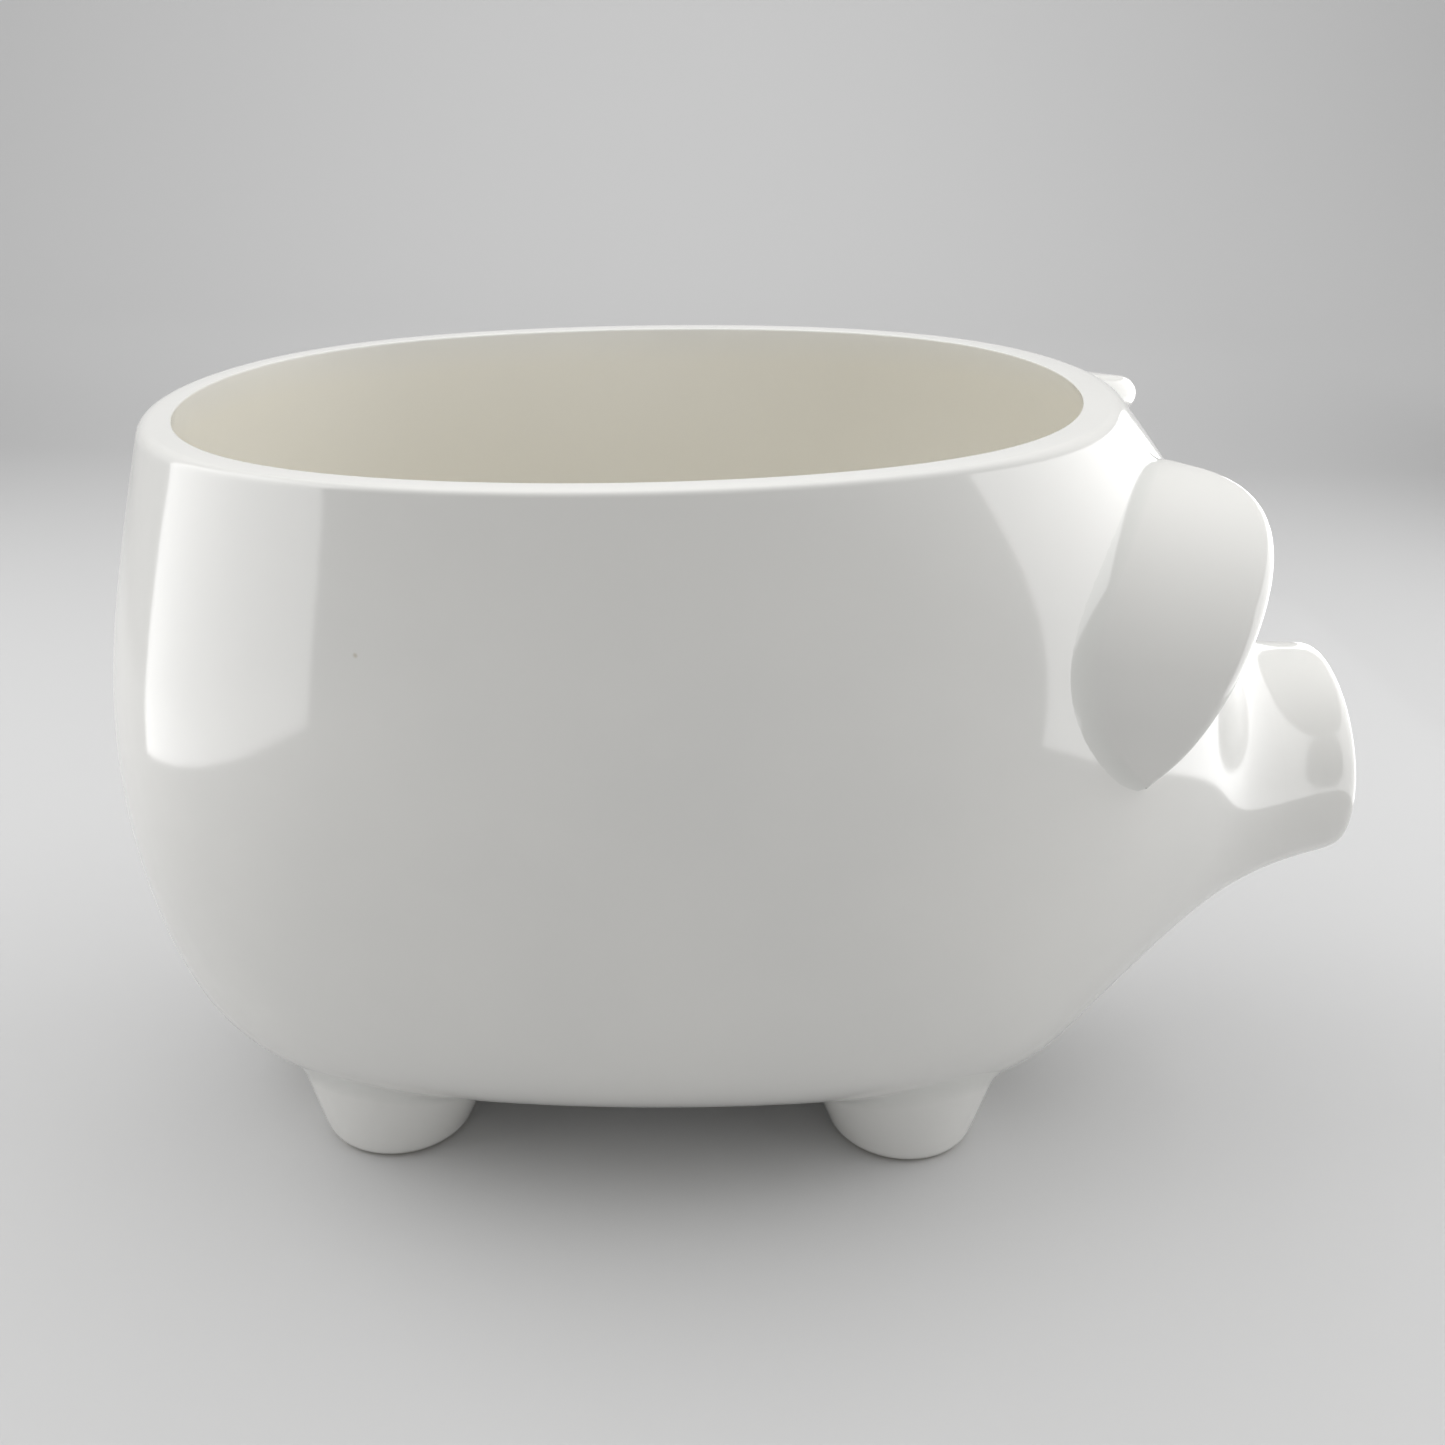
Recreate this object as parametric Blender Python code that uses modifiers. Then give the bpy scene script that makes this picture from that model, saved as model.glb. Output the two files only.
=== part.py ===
"""White glazed pig planter: an open pot with a hollow snout, two ears, four feet and a small tail.

Every piece is clay. The pot and the snout are cast as thin shells of one even wall, and the ears, feet and
tail are luted on to them. Metres, +Z up, +X towards the snout, origin on the ground under the middle.
"""
import math

import bmesh
import bpy
from mathutils import Matrix, Vector
from mathutils.bvhtree import BVHTree

MM = 0.001
NAME = "pig_planter"

# Clay sections
WALL = 5.0 * MM
LUTE_GAP = 0.3 * MM

# Pot: six control rings of the cast form, from the floor up. Rises are from the floor's underside,
# reaches are from the pot's middle, and the cast surface lies a little inside the rings.
POT_MIDDLE_X = -13.9 * MM
FLOOR_CLEARANCE = 10.4 * MM
PLAN_SQUARENESS = 2.29
RIM_SLOPE = math.radians(2.1)

FLOOR_REAR = 38.5 * MM
FLOOR_FRONT = 44.0 * MM
FLOOR_HALF_WIDTH = 27.5 * MM

SILL_RISE = 1.6 * MM
SILL_REAR = 69.0 * MM
SILL_FRONT = 82.5 * MM
SILL_HALF_WIDTH = 34.0 * MM

FLANK_RISE = 14.8 * MM
FLANK_REAR = 96.5 * MM
FLANK_FRONT = 89.6 * MM
FLANK_HALF_WIDTH = 57.0 * MM

BELLY_RISE = 64.0 * MM
BELLY_REAR = 103.5 * MM
BELLY_FRONT = 103.5 * MM
BELLY_HALF_WIDTH = 70.5 * MM

SHOULDER_RISE = 100.8 * MM
SHOULDER_REAR = 96.5 * MM
SHOULDER_FRONT = 100.0 * MM
SHOULDER_HALF_WIDTH = 69.5 * MM

RIM_RISE = 125.0 * MM
RIM_REAR = 89.5 * MM
RIM_FRONT = 78.5 * MM
RIM_HALF_WIDTH = 69.0 * MM
# The form is cast taller than the pot and trimmed flat at the rim.
CASTING_SPARE = 9.0 * MM

# Snout: control rings along a tilted axis, from the cheek to the blunt end. The cheek's middle is placed from
# the belly ring's front, and the other rings by their distance along the axis.
SNOUT_TILT = math.radians(8.5)
CHEEK_SET_BACK = 2.2 * MM
CHEEK_DROP = 7.0 * MM
CHEEK_RADIUS = 25.8 * MM
NECK_DISTANCE = 18.2 * MM
NECK_RADIUS = 22.0 * MM
TIP_DISTANCE = 23.3 * MM
TIP_RADIUS = 21.7 * MM
DISC_BORDER = 3.2 * MM
DISC_CROWN = 0.5 * MM
# The snout's casting, from its luted joint with the pot to the tip ring.
SNOUT_LENGTH = 15.4 * MM

NOSTRIL_SPACING = 15.0 * MM
NOSTRIL_WIDTH = 6.4 * MM
NOSTRIL_HEIGHT = 9.0 * MM
NOSTRIL_DEPTH = 2.8 * MM
NOSTRIL_RAISE = 2.0 * MM

# Ears: cupped flaps, each a piece of a tube that runs forward along the side of the head. Its axis and its
# edge are placed from the shoulder ring.
EAR_THICKNESS = 5.6 * MM
EAR_CUP_RADIUS = 29.6 * MM
EAR_AXIS_INSET = 46.5 * MM
EAR_AXIS_DROP = 7.0 * MM
EAR_TOP_ANGLE = math.radians(103.0)
EAR_TIP_ANGLE = math.radians(230.0)
EAR_EDGE_SET_BACK = 21.8 * MM
EAR_CROWN = 15.6 * MM
EAR_CROWN_SHIFT = 0.5
EAR_ROOT_LENGTH = 33.0 * MM
# The left ear was set by hand a little further forward and higher than the right one's mirror image.
EAR_LEFT_FORWARD = 1.6 * MM
EAR_LEFT_RAISE = 2.4 * MM

# Feet: turned stubs that taper down from the pot's underside, placed from the sill ring.
FOOT_REAR_INSET = 19.6 * MM
FOOT_FRONT_INSET = 36.2 * MM
FOOT_REAR_SIDE_INSET = 13.7 * MM
FOOT_FRONT_SIDE_INSET = 12.3 * MM
FOOT_SOLE_RADIUS = 11.3 * MM
FOOT_EDGE_ROUND = 2.0 * MM
FOOT_TOP_RADIUS = 16.7 * MM
FOOT_EMBED = 12.5 * MM

# Tail: a low curl laid flat on the rump, a little above the belly ring.
TAIL_RAISE = 2.0 * MM
TAIL_CURL_RADIUS = 7.2 * MM
TAIL_TURNS = 1.2
TAIL_PITCH = 3.9 * MM
TAIL_THICKNESS = 3.0 * MM
TAIL_RELIEF = 1.9 * MM

WHITE_GLAZE = (0.86, 0.86, 0.83)
GLAZE_ROUGHNESS = 0.12

# Facets of the solids
COLUMNS = 12
SMOOTH_LEVELS = 2
SNOUT_STEPS = 8
NOSTRIL_SEGMENTS = 16
NOSTRIL_RINGS = 8
EAR_COLUMNS = 7
EAR_ROWS = 3
FOOT_SEGMENTS = 32
EDGE_STEPS = 3
TAIL_POINTS = 40
TAIL_BEAD_STEPS = 2
WELD = 0.00001
BIG = 0.4


def clear_scene():
    for item in list(bpy.data.objects):
        bpy.data.objects.remove(item, do_unlink=True)


def new_collection(name):
    collection = bpy.data.collections.new(name)
    bpy.context.scene.collection.children.link(collection)
    return collection


def glaze(name):
    material = bpy.data.materials.new(name + "_glaze")
    material.use_nodes = True
    shader = material.node_tree.nodes["Principled BSDF"]
    shader.inputs["Base Color"].default_value = (*WHITE_GLAZE, 1.0)
    shader.inputs["Roughness"].default_value = GLAZE_ROUGHNESS
    shader.inputs["Metallic"].default_value = 0.0
    return material


def add_object(name, bm, collection):
    mesh = bpy.data.meshes.new(name)
    bm.to_mesh(mesh)
    bm.free()
    mesh.shade_smooth()
    item = bpy.data.objects.new(name, mesh)
    collection.objects.link(item)
    return item


def add_piece(name, bm):
    item = add_object(name, bm, PIECES)
    item.data.materials.append(glaze(name))
    return item


def add_cutter(name, bm):
    item = add_object(name, bm, CUTTERS)
    item.display_type = "WIRE"
    item.hide_render = True
    return item


def smooth(item):
    modifier = item.modifiers.new("Smooth", "SUBSURF")
    modifier.levels = SMOOTH_LEVELS
    modifier.render_levels = SMOOTH_LEVELS


def thicken(item, thickness):
    modifier = item.modifiers.new("Wall", "SOLIDIFY")
    modifier.thickness = thickness
    modifier.offset = -1.0
    modifier.use_even_offset = True


def cut(item, cutter):
    modifier = item.modifiers.new("Cut " + cutter.name, "BOOLEAN")
    modifier.operation = "DIFFERENCE"
    modifier.solver = "EXACT"
    modifier.object = cutter


def floor_height(rise):
    return FLOOR_CLEARANCE + rise


def rounded(value):
    """The superellipse's power of a sine or cosine, with its sign kept."""
    return math.copysign(abs(value) ** (2.0 / PLAN_SQUARENESS), value)


def ring_point(ring, column):
    """A control point of the pot: its ring's rounded oval, leaning with the rim's slope higher up."""
    rise, rear, front, half_width = ring
    turn = 2.0 * math.pi * column / COLUMNS
    along = (front - rear) / 2.0 + (front + rear) / 2.0 * rounded(math.cos(turn))
    across = half_width * rounded(math.sin(turn))
    lean = along * math.tan(RIM_SLOPE) * rise / RIM_RISE
    return Vector((POT_MIDDLE_X + along, across, floor_height(rise) + lean))


def spare_ring():
    """The ring above the rim that the cast form is trimmed down from, in line with the shoulder and the rim."""
    share = CASTING_SPARE / (RIM_RISE - SHOULDER_RISE)
    shoulder = (SHOULDER_RISE, SHOULDER_REAR, SHOULDER_FRONT, SHOULDER_HALF_WIDTH)
    rim = (RIM_RISE, RIM_REAR, RIM_FRONT, RIM_HALF_WIDTH)
    return tuple(high + (high - low) * share for low, high in zip(shoulder, rim))


def snout_axis():
    return Vector((math.cos(SNOUT_TILT), 0.0, math.sin(SNOUT_TILT)))


def snout_centre(distance):
    reach = BELLY_FRONT - CHEEK_SET_BACK
    cheek = Vector((POT_MIDDLE_X + reach, 0.0, floor_height(BELLY_RISE - CHEEK_DROP)))
    return cheek + snout_axis() * distance


def snout_point(distance, radius, step):
    turn = -math.pi / 2.0 + 2.0 * math.pi * step / SNOUT_STEPS
    up = Vector((-math.sin(SNOUT_TILT), 0.0, math.cos(SNOUT_TILT)))
    across = Vector((0.0, 1.0, 0.0))
    return snout_centre(distance) + across * radius * math.cos(turn) + up * radius * math.sin(turn)


def extrude_loop(bm, edges, points):
    """Extrudes a loop of boundary edges and moves each new corner to the point of its old one."""
    corners = list(dict.fromkeys(corner for edge in edges for corner in edge.verts))
    spots = [points[corner] for corner in corners]
    result = bmesh.ops.extrude_edge_only(bm, edges=edges)["geom"]
    new_edges = [part for part in result if isinstance(part, bmesh.types.BMEdge)]
    fresh = {part for part in result if isinstance(part, bmesh.types.BMVert)}
    moved = {}
    for corner, spot in zip(corners, spots):
        partner = next(e.other_vert(corner) for e in corner.link_edges if e.other_vert(corner) in fresh)
        moved[partner] = corner
        partner.co = spot
    return [edge for edge in new_edges if edge.is_boundary], moved


def cast_form_cage():
    """The coarse cage of pot and snout together, open at the top of the casting."""
    rings = [
        (0.0, FLOOR_REAR, FLOOR_FRONT, FLOOR_HALF_WIDTH),
        (SILL_RISE, SILL_REAR, SILL_FRONT, SILL_HALF_WIDTH),
        (FLANK_RISE, FLANK_REAR, FLANK_FRONT, FLANK_HALF_WIDTH),
        (BELLY_RISE, BELLY_REAR, BELLY_FRONT, BELLY_HALF_WIDTH),
        (SHOULDER_RISE, SHOULDER_REAR, SHOULDER_FRONT, SHOULDER_HALF_WIDTH),
        (RIM_RISE, RIM_REAR, RIM_FRONT, RIM_HALF_WIDTH),
        spare_ring(),
    ]
    bm = bmesh.new()
    circle = bmesh.ops.create_circle(bm, cap_ends=True, cap_tris=True, segments=COLUMNS, radius=1.0)["verts"]
    column_of = {}
    for corner in circle:
        if corner.co.length < 0.5:
            corner.co = (POT_MIDDLE_X, 0.0, floor_height(0.0))
        else:
            turn = math.atan2(corner.co.y, corner.co.x)
            column_of[corner] = round(turn / (2.0 * math.pi) * COLUMNS) % COLUMNS
    for corner, column in column_of.items():
        corner.co = ring_point(rings[0], column)
    edges = [edge for edge in bm.edges if edge.is_boundary]
    levels = [column_of]
    for ring in rings[1:]:
        points = {corner: ring_point(ring, column) for corner, column in column_of.items()}
        edges, moved = extrude_loop(bm, edges, points)
        column_of = {fresh: column_of[old] for fresh, old in moved.items()}
        levels.append(column_of)
    bmesh.ops.recalc_face_normals(bm, faces=bm.faces)
    open_the_face(bm, levels)
    return bm


def open_the_face(bm, levels):
    """Takes out the middle of the face and draws the snout out of the hole."""
    flank, belly, shoulder = levels[2], levels[3], levels[4]
    spot = next(corner for corner, column in belly.items() if column == 0)
    steps = {
        (2, 0): 0, (2, 1): 1, (3, 1): 2, (4, 1): 3, (4, 0): 4,
        (4, COLUMNS - 1): 5, (3, COLUMNS - 1): 6, (2, COLUMNS - 1): 7,
    }
    step_of = {}
    for level, ring in ((2, flank), (3, belly), (4, shoulder)):
        for corner, column in ring.items():
            if (level, column) in steps:
                step_of[corner] = steps[(level, column)]
    bmesh.ops.delete(bm, geom=[spot], context="VERTS")
    edges = [e for e in bm.edges if e.is_boundary and all(corner in step_of for corner in e.verts)]
    sections = (
        (0.0, CHEEK_RADIUS),
        (NECK_DISTANCE, NECK_RADIUS),
        (TIP_DISTANCE, TIP_RADIUS),
        (TIP_DISTANCE + DISC_CROWN, TIP_RADIUS - DISC_BORDER),
    )
    for section in sections:
        points = {corner: snout_point(*section, step) for corner, step in step_of.items()}
        edges, moved = extrude_loop(bm, edges, points)
        step_of = {fresh: step_of[old] for fresh, old in moved.items()}
    bmesh.ops.holes_fill(bm, edges=edges, sides=len(edges))


def solid_form(margin):
    """The whole cast form as one closed solid, grown by a margin, for trimming what is luted to it."""
    bm = cast_form_cage()
    crease = bm.edges.layers.float.new("crease_edge")
    top = [edge for edge in bm.edges if edge.is_boundary]
    for edge in top:
        edge[crease] = 1.0
    bmesh.ops.holes_fill(bm, edges=top, sides=len(top))
    form = add_cutter(f"cast_form_{round(margin / MM * 10)}", bm)
    smooth(form)
    grow = form.modifiers.new("Grow", "DISPLACE")
    grow.mid_level = 0.0
    grow.strength = margin
    return form


def half_space(name, point, normal):
    """A large block that fills the space on the normal's side of a plane."""
    bm = bmesh.new()
    bmesh.ops.create_cube(bm, size=BIG)
    bmesh.ops.translate(bm, verts=bm.verts, vec=(0.0, 0.0, BIG / 2.0))
    turn = normal.to_track_quat("Z", "Y").to_matrix().to_4x4()
    bmesh.ops.transform(bm, matrix=Matrix.Translation(point) @ turn, verts=bm.verts)
    return add_cutter(name, bm)


def shell(name):
    item = add_piece(name, cast_form_cage())
    smooth(item)
    thicken(item, WALL)
    return item


def build_pot_and_snout():
    rim_normal = Vector((-math.sin(RIM_SLOPE), 0.0, math.cos(RIM_SLOPE)))
    rim_point = Vector((POT_MIDDLE_X, 0.0, floor_height(RIM_RISE)))
    above_rim = half_space("above_rim", rim_point, rim_normal)
    seam = snout_centre(TIP_DISTANCE - SNOUT_LENGTH)
    gap = snout_axis() * (LUTE_GAP / 2.0)
    before_seam = half_space("before_seam", seam - gap, snout_axis())
    behind_seam = half_space("behind_seam", seam + gap, -snout_axis())

    pot = shell("body_shell")
    cut(pot, above_rim)
    cut(pot, before_seam)

    snout = shell("snout")
    cut(snout, behind_seam)
    for side, word in ((-1.0, "right"), (1.0, "left")):
        cut(snout, nostril("nostril_" + word, side))


def nostril(name, side):
    """An egg-shaped cutter, half sunk in the snout's blunt end."""
    bm = bmesh.new()
    bmesh.ops.create_uvsphere(bm, u_segments=NOSTRIL_SEGMENTS, v_segments=NOSTRIL_RINGS, radius=1.0)
    size = Matrix.Diagonal((NOSTRIL_DEPTH, NOSTRIL_WIDTH / 2.0, NOSTRIL_HEIGHT / 2.0, 1.0))
    face = snout_centre(TIP_DISTANCE + DISC_CROWN)
    upright = Matrix.Rotation(-SNOUT_TILT, 4, "Y")
    offset = upright @ Vector((0.0, side * NOSTRIL_SPACING / 2.0, NOSTRIL_RAISE))
    bmesh.ops.transform(bm, matrix=Matrix.Translation(face + offset) @ upright @ size, verts=bm.verts)
    return add_cutter(name, bm)


def ear_spot(across, along):
    """A control point of the right ear: across runs from its top to its low tip, along from root to free edge."""
    turn = EAR_TOP_ANGLE + (EAR_TIP_ANGLE - EAR_TOP_ANGLE) * across
    crown = EAR_CROWN * math.sin(math.pi * across ** EAR_CROWN_SHIFT)
    edge = POT_MIDDLE_X + SHOULDER_FRONT - EAR_EDGE_SET_BACK
    return Vector((
        edge - EAR_ROOT_LENGTH + (EAR_ROOT_LENGTH + crown) * along,
        EAR_AXIS_INSET - SHOULDER_HALF_WIDTH + EAR_CUP_RADIUS * math.cos(turn),
        floor_height(SHOULDER_RISE - EAR_AXIS_DROP) + EAR_CUP_RADIUS * math.sin(turn),
    ))


def build_ears(grown_form):
    left_shift = Vector((EAR_LEFT_FORWARD, 0.0, EAR_LEFT_RAISE))
    for word, side, shift in (("right", 1.0, Vector()), ("left", -1.0, left_shift)):
        bm = bmesh.new()
        bmesh.ops.create_grid(bm, x_segments=EAR_COLUMNS, y_segments=EAR_ROWS, size=0.5)
        for corner in bm.verts:
            corner.co = ear_spot(corner.co.x + 0.5, corner.co.y + 0.5) + shift
            corner.co.y *= side
        if side < 0.0:
            bmesh.ops.reverse_faces(bm, faces=bm.faces)
        ear = add_piece("ear_" + word, bm)
        thicken(ear, EAR_THICKNESS)
        smooth(ear)
        cut(ear, grown_form)


def foot_profile():
    """From the top, which the pot's underside cuts away, down the tapered side to the rounded flat sole."""
    top = FLOOR_CLEARANCE + FOOT_EMBED
    points = [(0.0, top), (FOOT_TOP_RADIUS, top), (FOOT_TOP_RADIUS, FLOOR_CLEARANCE)]
    for step in range(EDGE_STEPS + 1):
        turn = math.pi / 2.0 * step / EDGE_STEPS
        radius = FOOT_SOLE_RADIUS + FOOT_EDGE_ROUND * math.cos(turn)
        points.append((radius, FOOT_EDGE_ROUND * (1.0 - math.sin(turn))))
    points.append((0.0, 0.0))
    return points


def build_feet(grown_form):
    places = (
        ("front", SILL_FRONT - FOOT_FRONT_INSET, SILL_HALF_WIDTH - FOOT_FRONT_SIDE_INSET),
        ("rear", FOOT_REAR_INSET - SILL_REAR, SILL_HALF_WIDTH - FOOT_REAR_SIDE_INSET),
    )
    for end, along, across in places:
        for word, side in (("right", -1.0), ("left", 1.0)):
            bm = bmesh.new()
            corners = [bm.verts.new((radius, 0.0, height)) for radius, height in foot_profile()]
            for first, second in zip(corners, corners[1:]):
                bm.edges.new((first, second))
            foot = add_piece(f"foot_{end}_{word}", bm)
            foot.location = (POT_MIDDLE_X + along, side * across, 0.0)
            turn = foot.modifiers.new("Turn", "SCREW")
            turn.steps = FOOT_SEGMENTS
            turn.render_steps = FOOT_SEGMENTS
            turn.use_merge_vertices = True
            turn.merge_threshold = WELD
            cut(foot, grown_form)


def rump_point(tree, across, rise):
    """The point of the rump at a place across it and a height, found by looking forward from behind."""
    start = Vector((-BIG, across, floor_height(rise)))
    spot = tree.ray_cast(start, Vector((1.0, 0.0, 0.0)))[0]
    if spot is None:
        raise RuntimeError("the tail misses the rump")
    return spot


def build_tail(grown_form):
    """A round bead along a spiral on the rump, cut away where it would sink into the pot."""
    shape = grown_form.evaluated_get(bpy.context.evaluated_depsgraph_get())
    tree = BVHTree.FromObject(shape, bpy.context.evaluated_depsgraph_get())
    sink = TAIL_THICKNESS / 2.0 - TAIL_RELIEF
    curve = bpy.data.curves.new("tail_path", "CURVE")
    curve.dimensions = "3D"
    curve.bevel_depth = TAIL_THICKNESS / 2.0
    curve.bevel_resolution = TAIL_BEAD_STEPS
    curve.use_fill_caps = True
    spline = curve.splines.new("POLY")
    spline.points.add(TAIL_POINTS - 1)
    for index, point in enumerate(spline.points):
        share = index / (TAIL_POINTS - 1)
        turn = -math.pi / 2.0 + 2.0 * math.pi * TAIL_TURNS * share
        radius = TAIL_CURL_RADIUS - TAIL_PITCH * TAIL_TURNS * share
        spot = rump_point(tree, radius * math.cos(turn), BELLY_RISE + TAIL_RAISE + radius * math.sin(turn))
        point.co = (spot.x + sink, spot.y, spot.z, 1.0)
    path = bpy.data.objects.new("tail_path", curve)
    PIECES.objects.link(path)
    bead = path.evaluated_get(bpy.context.evaluated_depsgraph_get())
    bm = bmesh.new()
    bm.from_mesh(bpy.data.meshes.new_from_object(bead))
    bmesh.ops.remove_doubles(bm, verts=bm.verts, dist=WELD)
    bmesh.ops.recalc_face_normals(bm, faces=bm.faces)
    bpy.data.objects.remove(path, do_unlink=True)
    cut(add_piece("tail", bm), grown_form)


clear_scene()
PIECES = new_collection(NAME)
CUTTERS = new_collection(NAME + "_cutters")
build_pot_and_snout()
GROWN_FORM = solid_form(LUTE_GAP)
build_ears(GROWN_FORM)
build_feet(GROWN_FORM)
build_tail(GROWN_FORM)
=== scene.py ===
"""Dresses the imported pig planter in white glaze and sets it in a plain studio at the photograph's angle.

The file is laid out as an add-on and runs as a script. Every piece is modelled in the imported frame, in
metres: the head is at +X, the camera's side at -Y and the soles stand on Z = 0.
"""
import math

import bmesh
import bpy
from bpy.props import FloatProperty, FloatVectorProperty, IntProperty, PointerProperty
from mathutils import Matrix, Vector
from mathutils.bvhtree import BVHTree


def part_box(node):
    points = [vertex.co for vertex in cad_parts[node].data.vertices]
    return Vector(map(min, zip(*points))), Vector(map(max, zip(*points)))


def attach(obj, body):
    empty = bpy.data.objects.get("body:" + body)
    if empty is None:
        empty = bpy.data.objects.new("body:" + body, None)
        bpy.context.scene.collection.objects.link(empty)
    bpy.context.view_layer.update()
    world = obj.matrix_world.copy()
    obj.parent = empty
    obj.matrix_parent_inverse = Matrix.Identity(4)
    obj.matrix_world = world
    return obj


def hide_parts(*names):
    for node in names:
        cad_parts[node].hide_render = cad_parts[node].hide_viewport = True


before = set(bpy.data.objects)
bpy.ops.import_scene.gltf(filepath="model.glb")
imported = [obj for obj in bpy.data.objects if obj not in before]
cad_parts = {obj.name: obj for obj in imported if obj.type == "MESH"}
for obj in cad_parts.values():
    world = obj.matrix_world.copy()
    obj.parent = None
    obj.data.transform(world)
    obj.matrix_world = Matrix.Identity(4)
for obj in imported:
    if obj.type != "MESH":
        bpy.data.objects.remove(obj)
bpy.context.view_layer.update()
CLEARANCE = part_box("body_shell")[0].z

bl_info = {
    "name": "Pig planter",
    "version": (1, 0, 0),
    "blender": (4, 5, 0),
    "location": "3D View > Sidebar > Planter",
    "description": "Models the glazed pieces of a pig-shaped planter and the studio around it",
    "category": "Object",
}

MM = 0.001
X_AXIS = Vector((1.0, 0.0, 0.0))
Y_AXIS = Vector((0.0, 1.0, 0.0))
Z_AXIS = Vector((0.0, 0.0, 1.0))

# Sections of the cast form, columns of its cage and levels of its smoothing
POT, TUBE, TIP = 0, 1, 2
COLUMNS = 12
SNOUT_STEPS = 8
POT_LEVELS = 4
SNOUT_LEVELS = 5

# Depth to which a wall is trimmed for its soft edge, as a multiple of the softness
INNER_TRIM = 1.2
OUTER_TRIM = 1.1

# Share of the wall to which a buried root reaches
ROOT_SHARE = 0.5

# Angles from which an edge stays sharp, on cast pieces and on pieces luted to them
CAST_CREASE = math.radians(40.0)
LUTED_CREASE = math.radians(60.0)

# Least agreement of a face with a kept normal, distance of a ray's start, and reach of a weld
ALIGNED = 0.5
FAR = 0.5
WELD = 0.000001

# Colour sockets of a Mix node
MIX_SHARE, MIX_FIRST, MIX_SECOND, MIX_RESULT = 0, 6, 7, 2

# Width of the camera's sensor in millimetres
SENSOR = 36.0


def length(name, description, millimetres):
    """A length property, given in millimetres."""
    return FloatProperty(name=name, description=description, default=millimetres * MM,
                         unit="LENGTH", precision=5)


def angle(name, description, degrees):
    """An angle property, given in degrees."""
    return FloatProperty(name=name, description=description, default=math.radians(degrees), subtype="ANGLE")


def number(name, description, value):
    """A plain number property."""
    return FloatProperty(name=name, description=description, default=value)


def count(name, description, value):
    """A whole number property."""
    return IntProperty(name=name, description=description, default=value, min=1)


def ring(name, rise, rear, front, half_width):
    """A control ring of the pot, given in millimetres."""
    values = [value * MM for value in (rise, rear, front, half_width)]
    description = "Rise over the floor, reach to the rear and front, half width"
    return FloatVectorProperty(name=name, description=description, size=4, default=values,
                               unit="LENGTH", precision=5)


def spot(name, description, x, y, z):
    """A place or shift in three directions, given in millimetres."""
    values = [value * MM for value in (x, y, z)]
    return FloatVectorProperty(name=name, description=description, size=3, default=values,
                               subtype="TRANSLATION", unit="LENGTH", precision=5)


def lamp(name, power, place, size):
    """A lamp, with its place and size given in millimetres."""
    values = [power] + [value * MM for value in (*place, *size)]
    description = "Watts, or a window's mirrored glow where 1 is white, then middle and size"
    return FloatVectorProperty(name=name, description=description, size=6, default=values, precision=5)


def numbers(name, description, *values):
    """A few plain numbers."""
    return FloatVectorProperty(name=name, description=description, size=len(values), default=values)


def colour(name, description, red, green, blue):
    """A scene linear colour property."""
    return FloatVectorProperty(name=name, description=description, size=3, default=(red, green, blue),
                               subtype="COLOR", min=0.0, max=1.0)


class PotSizes(bpy.types.PropertyGroup):
    middle: length("Middle", "Place of the pot's middle along the length", -13.9)
    squareness: number("Squareness", "Power of the rings' superellipse; 2 is a plain ellipse", 2.29)
    low_squareness: number("Low squareness", "The same power for the two rings near the feet", 3.4)
    slope: angle("Rim slope", "Rise of the rim's plane toward the head", 2.1)
    wall: length("Wall", "Thickness of the cast wall", 5.0)
    floor: ring("Floor ring", 0.0, 38.5, 44.0, 27.5)
    sill: ring("Sill ring", 1.6, 75.0, 79.5, 33.6)
    flank: ring("Flank ring", 14.8, 95.2, 88.6, 57.0)
    belly: ring("Belly ring", 64.0, 103.5, 103.5, 70.5)
    shoulder: ring("Shoulder ring", 100.8, 96.5, 100.0, 69.5)
    rim: ring("Rim ring", 125.0, 89.5, 78.5, 69.0)
    spare: length("Spare", "Rise of the waste above the rim", 9.0)
    outer_edge: length("Outer edge", "Softness of the rim's outer edge along the sides", 0.9)
    end_edge: length("End edge", "Added softness of the outer edge at the pot's two ends", 1.2)
    inner_edge: length("Inner edge", "Softness of the rim's inner edge", 0.5)
    edge_steps: count("Edge steps", "Rows around each edge of the rim", 6)
    cream_depth: length("Cream depth", "Depth under the rim over which the inside turns cream", 7.0)


class SnoutSizes(bpy.types.PropertyGroup):
    tilt: angle("Tilt", "Rise of the snout's axis", 8.5)
    set_back: length("Cheek set back", "Set back of the cheek ring from the belly ring's front", 2.2)
    drop: length("Cheek drop", "Drop of the cheek ring's centre under the belly ring", 7.0)
    cheek_radius: length("Cheek radius", "Radius of the cheek ring", 25.8)
    neck: length("Neck", "Distance of the neck ring from the cheek ring", 18.2)
    neck_radius: length("Neck radius", "Radius of the neck ring", 22.0)
    tip: length("Tip", "Distance of the tip ring from the cheek ring", 22.9)
    tip_radius: length("Tip radius", "Radius of the tip ring", 21.7)
    border: length("Disc border", "Distance of the disc ring inside the tip ring", 4.0)
    crown: length("Disc crown", "Rise of the disc over the tip ring", 0.5)
    nostril_spacing: length("Nostril spacing", "Distance between the two nostrils", 15.0)
    nostril_width: length("Nostril width", "Width of a nostril dent", 7.2)
    nostril_height: length("Nostril height", "Height of a nostril dent", 10.4)
    nostril_depth: length("Nostril depth", "Depth of a nostril dent", 2.8)
    nostril_raise: length("Nostril raise", "Rise of the nostrils over the disc's middle", 2.0)


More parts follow.
